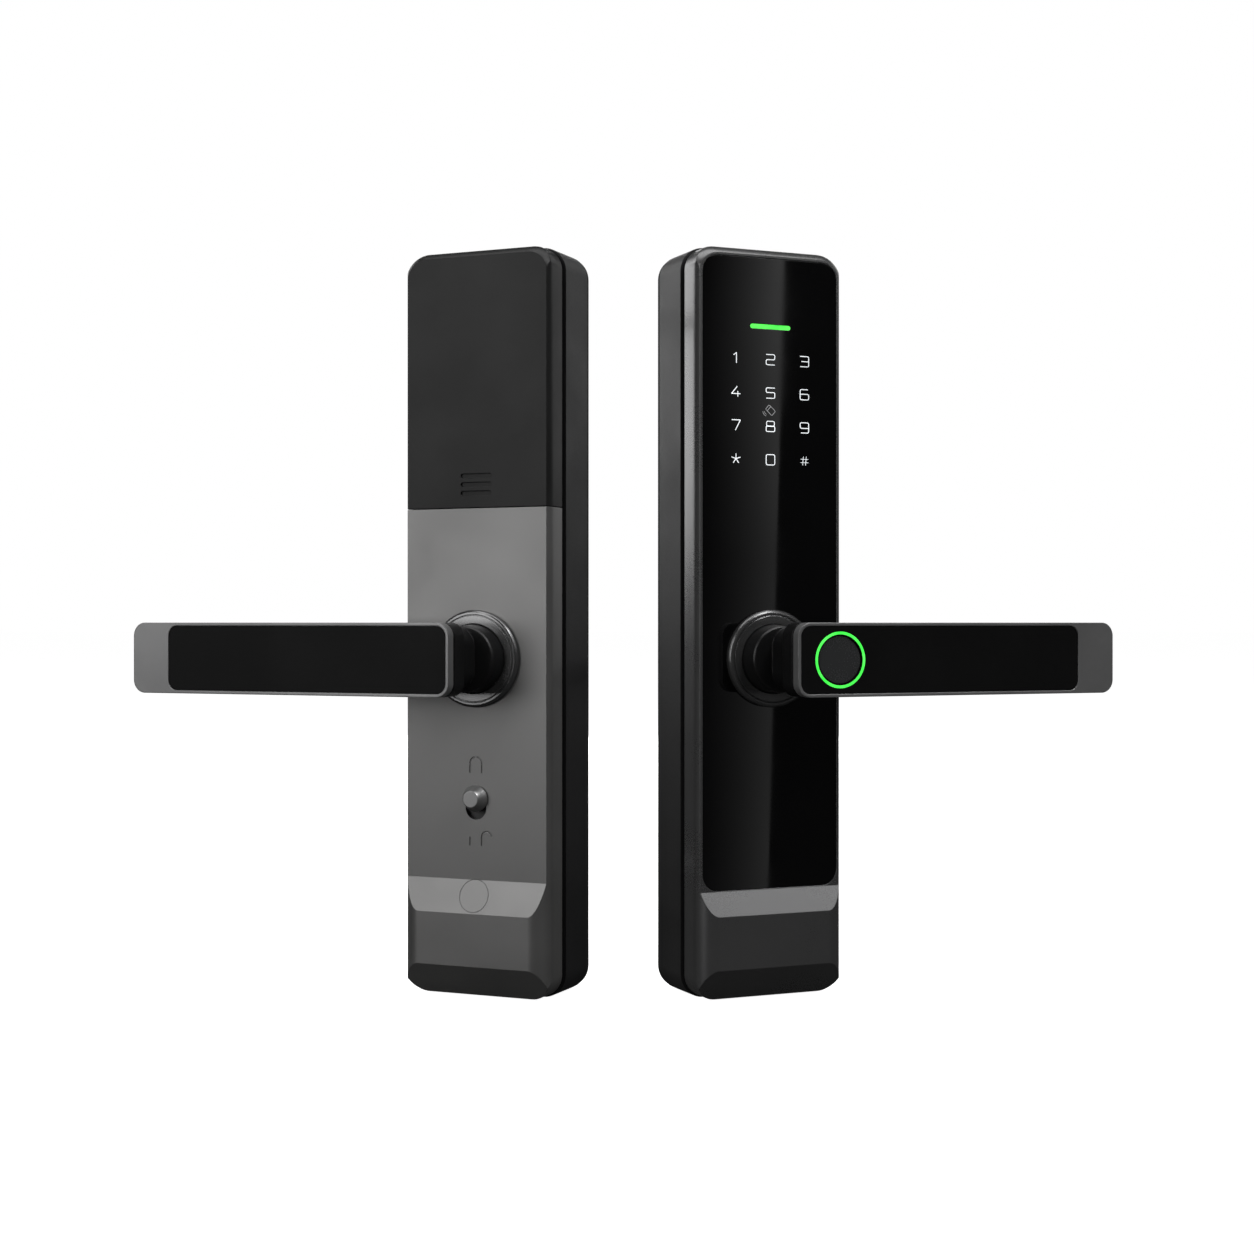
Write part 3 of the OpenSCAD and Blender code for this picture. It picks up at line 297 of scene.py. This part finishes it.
MATERIALS = {
    "outside_shell": coated("satin_dark_grey", (0.11, 0.11, 0.111), 0.28, metallic=0.64, grain=3000,
                            depth=0.002, vary=0.05, rough_vary=0.02),
    "inside_shell": coated("satin_gunmetal", (0.178, 0.177, 0.175), 0.40, metallic=0.7, grain=3000,
                           depth=0.003, vary=0.05),
    "cover": coated("satin_black_cover", (0.012, 0.012, 0.012), 0.42, grain=2800, depth=0.003,
                    specular=0.2),
    "outside_base": coated("powder_dark_grey", (0.022, 0.022, 0.0225), 0.46, metallic=0.3,
                           grain=1900, depth=0.01, specular=0.3),
    "inside_base": coated("moulded_black", (0.010, 0.010, 0.0105), 0.46, grain=1700, depth=0.012,
                          specular=0.3),
    "glass": glass_black("black_glass"),
    "outside_lever": lever_with_painted_shade("outside"),
    "inside_lever": lever_with_painted_shade("inside"),
    "rosette": coated("satin_rosette_grey", (0.17, 0.17, 0.171), 0.22, metallic=0.85, grain=3000,
                      depth=0.002, edge=0.45),
    "inlay": coated("black_inlay", (0.003, 0.003, 0.0031), 0.5, grain=2400, edge=0.2,
                    specular=0.12),
    "sensor": coated("sensor_face", (0.03, 0.031, 0.032), 0.28, grain=2200, depth=0.002, edge=0.5,
                     coat=0.3),
    "ring": ring_glow("green_ring", (0.03, 0.78, 0.05), 1.0, (0.09, 0.95, 0.10)),
    "bar": glowing("green_bar", (0.05, 0.72, 0.06), 0.9, (0.1, 0.88, 0.09)),
    "legend": glowing("legend_white", (0.72, 0.76, 0.78), 0.75, (0.9, 0.93, 0.95)),
    "diffuser": coated("white_diffuser", (0.75, 0.77, 0.8), 0.45, grain=900, depth=0.01),
    "rubber": coated("black_rubber", (0.012, 0.012, 0.012), 0.75, grain=1300, depth=0.03, edge=0.5),
    "black_plastic": coated("black_plastic", (0.02, 0.02, 0.021), 0.45, grain=1500, depth=0.012),
    "white_plastic": coated("white_plastic", (0.72, 0.71, 0.68), 0.42, grain=1500, depth=0.01),
    "steel": coated("plated_steel", (0.55, 0.55, 0.56), 0.27, metallic=1.0, grain=900,
                    stretch=(1, 1, 14)),
    "dark_steel": coated("blackened_steel", (0.06, 0.06, 0.062), 0.34, metallic=0.9, grain=1400),
    "bronze": coated("sintered_bronze", (0.5, 0.31, 0.12), 0.42, metallic=0.9, grain=1500,
                     depth=0.012),
    "nickel": coated("nickel_plate", (0.62, 0.59, 0.5), 0.3, metallic=1.0, grain=1200, depth=0.003),
    "board": circuit("circuit_board"),
    "cell_a": cell_wrap("cell_wrap_blue", (0.05, 0.09, 0.15)),
    "cell_b": cell_wrap("cell_wrap_grey", (0.09, 0.11, 0.13)),
    # Painted shade: the inside shell's gunmetal, made a touch darker for the screw cap to offset the
    # extra light that falls on its face.
    "cap": coated("satin_cap_grey_painted_shade", (0.172, 0.171, 0.169), 0.40, metallic=0.7, grain=3000,
                  depth=0.003, edge=0.25),
    "knob": coated("satin_knob", (0.24, 0.24, 0.24), 0.32, metallic=0.7, grain=3000, depth=0.002,
                   edge=0.4),
}

LOOKS = {
    "outside_gasket": "rubber", "outside_base": "outside_base", "outside_shell": "outside_shell",
    "outside_case_screws": "steel", "mounting_posts": "steel", "glass_panel": "glass",
    "keypad_light_guide": "diffuser", "keypad_board": "board", "keypad_legends": "legend",
    "status_light_bar": "bar", "buzzer": "black_plastic", "emergency_power_socket": "steel",
    "outside_rosette": "rosette", "outside_bush": "bronze", "outside_return_spring": "steel",
    "outside_hub": "steel", "outside_circlip": "dark_steel", "outside_stop_cam": "steel",
    "outside_lever": "outside_lever", "outside_lever_inlay": "inlay", "outside_set_screw": "dark_steel",
    "fingerprint_ring": "ring", "fingerprint_sensor": "sensor", "fingerprint_board": "board",
    "spindle": "steel", "clutch_bracket": "black_plastic", "clutch_motor": "steel",
    "clutch_screw": "bronze", "clutch_slider": "white_plastic", "inside_gasket": "rubber",
    "inside_base": "inside_base", "inside_shell": "inside_shell", "inside_case_screws": "steel",
    "through_bolts": "steel", "battery_cover": "cover", "battery_tray": "black_plastic",
    "battery_1": "cell_a", "battery_2": "cell_b", "battery_3": "cell_a", "battery_4": "cell_b",
    "battery_springs": "steel", "battery_contacts": "nickel", "inside_main_board": "board",
    "inside_rosette": "rosette", "inside_bush": "bronze", "inside_return_spring": "steel",
    "inside_hub": "steel", "inside_circlip": "dark_steel", "inside_stop_cam": "steel",
    "inside_lever": "inside_lever", "inside_lever_inlay": "inlay", "inside_set_screw": "dark_steel",
    "lock_slider": "knob", "slider_plate": "black_plastic", "slider_guide": "white_plastic",
    "slider_switch": "black_plastic", "screw_cap": "cap",
}

WELD_GAP = 0.000002
CREASE = math.radians(16)

for name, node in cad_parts.items():
    node.data.materials.clear()
    node.data.materials.append(MATERIALS[LOOKS[name]])
    for face in node.data.polygons:
        face.use_smooth = True
    weld = node.modifiers.new("weld", "WELD")
    weld.merge_threshold = WELD_GAP
    split = node.modifiers.new("split", "EDGE_SPLIT")
    split.split_angle = CREASE

# ------------------------------------------------------------------ keypad characters

HALF_W, HALF_H, LINE = 1.93, 2.05, 0.34
PRINT_GAP, PRINT_RISE, PRINT_TOP = 0.01, 0.08, 0.9
CORNER_STEPS, WAVE_STEPS = 6, 10
SHARP = 0.01
PITCH_X, PITCH_Z, KEYPAD_Z = 15.3, 13.3, 234.8


def rounded_path(points, radius, closed):
    """A polyline with its corners rounded."""
    points = [Vector(p) for p in points]
    path = []
    count = len(points)
    for i, p in enumerate(points):
        if not closed and i in (0, count - 1):
            path.append(p)
            continue
        a, b = points[i - 1] - p, points[(i + 1) % count] - p
        reach = min(radius, a.length / 2, b.length / 2)
        start, end = p + a.normalized() * reach, p + b.normalized() * reach
        for k in range(CORNER_STEPS + 1):
            t = k / CORNER_STEPS
            path.append(start * (1 - t) ** 2 + p * 2 * t * (1 - t) + end * t * t)
    return path


def ribbon(verts, faces, points, width, closed, where):
    """Adds a raised line with sloping sides along points, each [sideways, up] in millimetres."""
    count = len(points)
    base = len(verts)
    for i, p in enumerate(points):
        before = points[i - 1] if closed or i else p
        after = points[(i + 1) % count] if closed or i < count - 1 else p
        along = (after - before).normalized()
        aside = Vector((-along.y, along.x)) * width / 2
        verts.extend([where(p + aside, 0.0), where(p + aside * PRINT_TOP, PRINT_RISE),
                      where(p - aside * PRINT_TOP, PRINT_RISE), where(p - aside, 0.0)])
    for i in range(count if closed else count - 1):
        a, b = base + 4 * i, base + 4 * ((i + 1) % count)
        for k in range(3):
            faces.append([a + k, a + k + 1, b + k + 1, b + k])
        faces.append([a + 3, a, b, b + 3])
    if not closed:
        last = base + 4 * (count - 1)
        faces.append([base + 3, base + 2, base + 1, base])
        faces.append([last, last + 1, last + 2, last + 3])


def new_piece(name, verts, faces, material):
    mesh = bpy.data.meshes.new(name)
    mesh.from_pydata(verts, [], faces)
    mesh.update()
    piece = bpy.data.objects.new(name, mesh)
    bpy.context.scene.collection.objects.link(piece)
    piece.data.materials.append(material)
    return piece


def print_on_glass(name, groups, material):
    """One mesh of raised lines on the glass: groups of [middle x, middle z, paths]."""
    verts, faces = [], []
    for x, z, paths in groups:
        for points, radius, closed, width in paths:
            path = rounded_path(points, radius, closed)
            ribbon(verts, faces, path, width, closed,
                   lambda p, rise: place("outside", x + p.x, GLASS_FRONT + PRINT_GAP + rise, z + p.y))
    return new_piece(name, verts, faces, material)


def glyph(paths, radius=0.75):
    """A character's paths, from points given in half widths and half heights."""
    return [([(x * HALF_W, y * HALF_H) for x, y in points], radius, closed, LINE)
            for points, closed in paths]


DIGITS = [
    glyph([([(-1, 1), (1, 1), (1, -1), (-1, -1)], True)]),
    glyph([([(-0.55, 0.55), (0.1, 1), (0.1, -1)], False)], radius=0.05),
    glyph([([(-1, 1), (1, 1), (1, 0), (-1, 0), (-1, -1), (1, -1)], False)]),
    glyph([([(-1, 1), (1, 1), (1, -1), (-1, -1)], False), ([(-0.7, 0), (1, 0)], False)]),
    glyph([([(0.3, 1), (-1, -0.42), (1, -0.42)], False), ([(0.42, 0.1), (0.42, -1)], False)],
          radius=0.1),
    glyph([([(1, 1), (-1, 1), (-1, 0.1), (1, 0.1), (1, -1), (-1, -1)], False)], radius=0.6),
    glyph([([(0.8, 1), (-1, 1), (-1, -1), (1, -1), (1, 0.1), (-1, 0.1)], False)]),
    glyph([([(-1, 1), (1, 1), (-0.15, -1)], False)], radius=0.2),
    glyph([([(-0.9, 1), (0.9, 1), (0.9, 0.05), (-0.9, 0.05)], True),
           ([(-1, 0.05), (1, 0.05), (1, -1), (-1, -1)], True)], radius=0.7),
    glyph([([(-0.8, -1), (1, -1), (1, 1), (-1, 1), (-1, -0.1), (1, -0.1)], False)]),
]


def star():
    angles = [math.radians(72 * i) for i in range(5)]
    return [([(0, 0), (HALF_H * math.sin(a), HALF_H * math.cos(a))], SHARP, False, LINE)
            for a in angles]


def hash_sign():
    reach, gap, lean, width = 1.75, 0.66, 0.2, LINE * 0.62
    uprights = [[(s - lean, -reach), (s + lean, reach)] for s in (-gap, gap)]
    bars = [[(-reach, s), (reach, s)] for s in (-gap, gap)]
    return [(points, SHARP, False, width) for points in uprights + bars]


def card_sign():
    """A tilted card with a stripe, and two waves beside it."""
    half_w, half_h, stripe, width = 1.2, 1.9, 0.9, 0.24
    wave_from, wave_sweep, wave_drop = 190, 60, 0.2
    tilt = math.radians(48)

    def tilted(points):
        return [(x * math.cos(tilt) - y * math.sin(tilt), x * math.sin(tilt) + y * math.cos(tilt))
                for x, y in points]

    def wave(radius):
        angles = [math.radians(wave_from + wave_sweep * i / WAVE_STEPS) for i in range(WAVE_STEPS + 1)]
        points = [(radius * math.cos(a) - half_w, radius * math.sin(a) - wave_drop) for a in angles]
        return points, SHARP, False, width

    outline = tilted([(-half_w, -half_h), (half_w, -half_h), (half_w, half_h), (-half_w, half_h)])
    middle_line = tilted([(-half_w, stripe), (half_w, stripe)])
    return [(outline, 0.5, True, width), (middle_line, SHARP, False, width), wave(2.3), wave(1.6)]


keys = []
for row in range(3):
    for column in range(3):
        key_z = KEYPAD_Z + (1.5 - row) * PITCH_Z
        keys.append([(column - 1) * PITCH_X, key_z, DIGITS[3 * row + column + 1]])
low_row = KEYPAD_Z - 1.5 * PITCH_Z
keys.append([-PITCH_X, low_row, star()])
keys.append([0, low_row, DIGITS[0]])
keys.append([PITCH_X, low_row, hash_sign()])
legends = print_on_glass("keypad_characters", keys, MATERIALS["legend"])
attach(legends, "housings")
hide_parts("keypad_legends")

faint_print = glowing("faint_print", (0.2, 0.2, 0.205), 0.8, (0.28, 0.28, 0.285))
card_mark = print_on_glass("card_mark", [[0, KEYPAD_Z - 0.2, card_sign()]], faint_print)
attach(card_mark, "housings")

# ------------------------------------------------------------------ floor and world

SPAN = 30
FLOOR_GLOW = 0.97
WORLD_FILL = 0.03


def pale_floor():
    """A floor that the camera sees as white, and that throws only a little light back."""
    m, nodes, links, bsdf, coords = shader("pale_floor")
    mottle = noise(nodes, links, coords, scale=6)
    paint = tint(nodes, links, mottle, (0.84, 0.84, 0.84), (0.86, 0.86, 0.86))
    links.new(paint, bsdf.inputs["Base Color"])
    links.new(spread(nodes, links, mottle, 0.85, 0.95), bsdf.inputs["Roughness"])
    bsdf.inputs["Emission Color"].default_value = (1, 1, 1, 1)
    bsdf.inputs["Emission Strength"].default_value = FLOOR_GLOW
    bsdf.inputs["Specular IOR Level"].default_value = 0.0
    quiet = nodes.new("ShaderNodeBsdfDiffuse")
    quiet.inputs["Color"].default_value = (0.12, 0.12, 0.12, 1)
    camera_sees(nodes, links, bsdf, quiet, nodes["Material Output"].inputs["Surface"])
    return m


floor_corners = [(-SPAN, -SPAN, 0), (SPAN, -SPAN, 0), (SPAN, SPAN, 0), (-SPAN, SPAN, 0)]
floor = new_piece("floor", floor_corners, [[0, 1, 2, 3]], pale_floor())
floor.visible_glossy = False

world = bpy.data.worlds.new("studio")
bpy.context.scene.world = world
world.use_nodes = True
nodes, links = world.node_tree.nodes, world.node_tree.links
seen, unseen = nodes["Background"], nodes.new("ShaderNodeBackground")
for background, strength in ((seen, 1.0), (unseen, WORLD_FILL)):
    background.inputs["Color"].default_value = (1, 1, 1, 1)
    background.inputs["Strength"].default_value = strength
camera_sees(nodes, links, seen, unseen, nodes["World Output"].inputs["Surface"])

# ------------------------------------------------------------------ lights


def softbox(name, at, target, size, watts):
    data = bpy.data.lights.new(name, "AREA")
    data.shape = "RECTANGLE"
    data.size, data.size_y = size
    data.energy = watts
    lamp = bpy.data.objects.new(name, data)
    lamp.location = at
    lamp.rotation_mode = "QUATERNION"
    lamp.rotation_quaternion = (Vector(target) - Vector(at)).to_track_quat("-Z", "Y")
    lamp.visible_camera = False
    bpy.context.scene.collection.objects.link(lamp)


softbox("key_left", at=(-1.5, -1.25, 0.75), target=(-0.05, 0, 0.15), size=(1.1, 1.5), watts=15)
softbox("slope_light", at=(1.29, -0.90, 0.95), target=(0.06, 0, 0.1), size=(0.55, 0.5), watts=2.9)
softbox("fill_right", at=(1.05, -1.0, 1.75), target=(0.06, 0, 0.1), size=(0.8, 0.6), watts=20)
softbox("top", at=(0, -0.15, 1.7), target=(0, 0, 0.1), size=(1.8, 1.1), watts=20)
softbox("back_left", at=(-1.1, 1.0, 0.7), target=(0, 0, 0.15), size=(0.5, 1.0), watts=5)
softbox("back_right", at=(1.1, 1.0, 0.7), target=(0, 0, 0.15), size=(0.5, 1.0), watts=2)
softbox("back", at=(0, 1.7, 0.5), target=(0, 0, 0.15), size=(1.4, 0.9), watts=16)

# ------------------------------------------------------------------ camera

EYE = Vector((0, -0.8108, 0.15))
LENS, SENSOR_WIDTH = 56.36, 36
SHIFT_X, SHIFT_Y = 0.00295, -0.0036
CLIP_START, CLIP_END = 0.05, 100

camera_data = bpy.data.cameras.new("camera")
camera_data.lens, camera_data.sensor_width = LENS, SENSOR_WIDTH
camera_data.shift_x, camera_data.shift_y = SHIFT_X, SHIFT_Y
camera_data.clip_start, camera_data.clip_end = CLIP_START, CLIP_END
camera = bpy.data.objects.new("camera", camera_data)
camera.location = EYE
camera.rotation_euler = (math.pi / 2, 0, 0)
bpy.context.scene.collection.objects.link(camera)
bpy.context.scene.camera = camera
bpy.context.scene.view_settings.view_transform = "Standard"

# ------------------------------------------------------------------ reflector

# A tall card to the right, whose mirror image is the band of light on the glass. Its sharp edge is
# mirrored between two points of the glass, each given as (u, z), and from there it fades sideways.
EDGE_TOP, EDGE_FOOT = (6.2, 294), (-1.0, 46)
FADE_FROM, FADE_TO = (2.6, 170), (-30, 170)
CARD_DISTANCE = 1.5
CARD_WIDTH, CARD_SPARE = 0.15, 0.5
FADE_WIDTH, FADE_POWER = 0.13, 2.7
DIM_SPAN, DIM_LOW = (0.37, 0.66), 0.42


def card_light():
    """Light that fades across the card and is dimmer at its foot than at its top."""
    m = bpy.data.materials.new("reflector")
    m.use_nodes = True
    nodes, links = m.node_tree.nodes, m.node_tree.links
    nodes.clear()
    surface = nodes.new("ShaderNodeOutputMaterial").inputs["Surface"]
    light = nodes.new("ShaderNodeEmission")
    coords = nodes.new("ShaderNodeTexCoord").outputs["Object"]
    axes = nodes.new("ShaderNodeSeparateXYZ")
    links.new(coords, axes.inputs[0])
    fade = spread(nodes, links, axes.outputs["X"], 1.0, 0.0, (0.0, FADE_WIDTH))
    soften = arithmetic(nodes, links, "POWER", fade, FADE_POWER)
    dim = spread(nodes, links, axes.outputs["Y"], DIM_LOW, 1.0, DIM_SPAN)
    links.new(arithmetic(nodes, links, "MULTIPLY", soften, dim), light.inputs["Strength"])
    links.new(light.outputs[0], surface)
    return m


def bounce(u, z):
    """The place at the card's distance that the camera sees mirrored in a point of the glass."""
    p = place("outside", u, GLASS_FRONT, z)
    sight = (p - EYE).normalized()
    return p + (sight - 2 * sight.dot(OUTWARD) * OUTWARD) * CARD_DISTANCE


edge_top, edge_foot = bounce(*EDGE_TOP), bounce(*EDGE_FOOT)
up = (edge_top - edge_foot).normalized()
away = bounce(*FADE_TO) - bounce(*FADE_FROM)
across = (away - away.dot(up) * up).normalized()
card_low, card_high = -CARD_SPARE, (edge_top - edge_foot).length + CARD_SPARE
card_corners = [(0, card_low, 0), (CARD_WIDTH, card_low, 0),
                (CARD_WIDTH, card_high, 0), (0, card_high, 0)]
reflector = new_piece("reflector", card_corners, [[0, 1, 2, 3]], card_light())
card_turn = Matrix((across, up, across.cross(up))).transposed().to_4x4()
reflector.matrix_world = Matrix.Translation(edge_foot) @ card_turn
reflector.visible_camera = False
reflector.visible_diffuse = False
reflector.visible_shadow = False
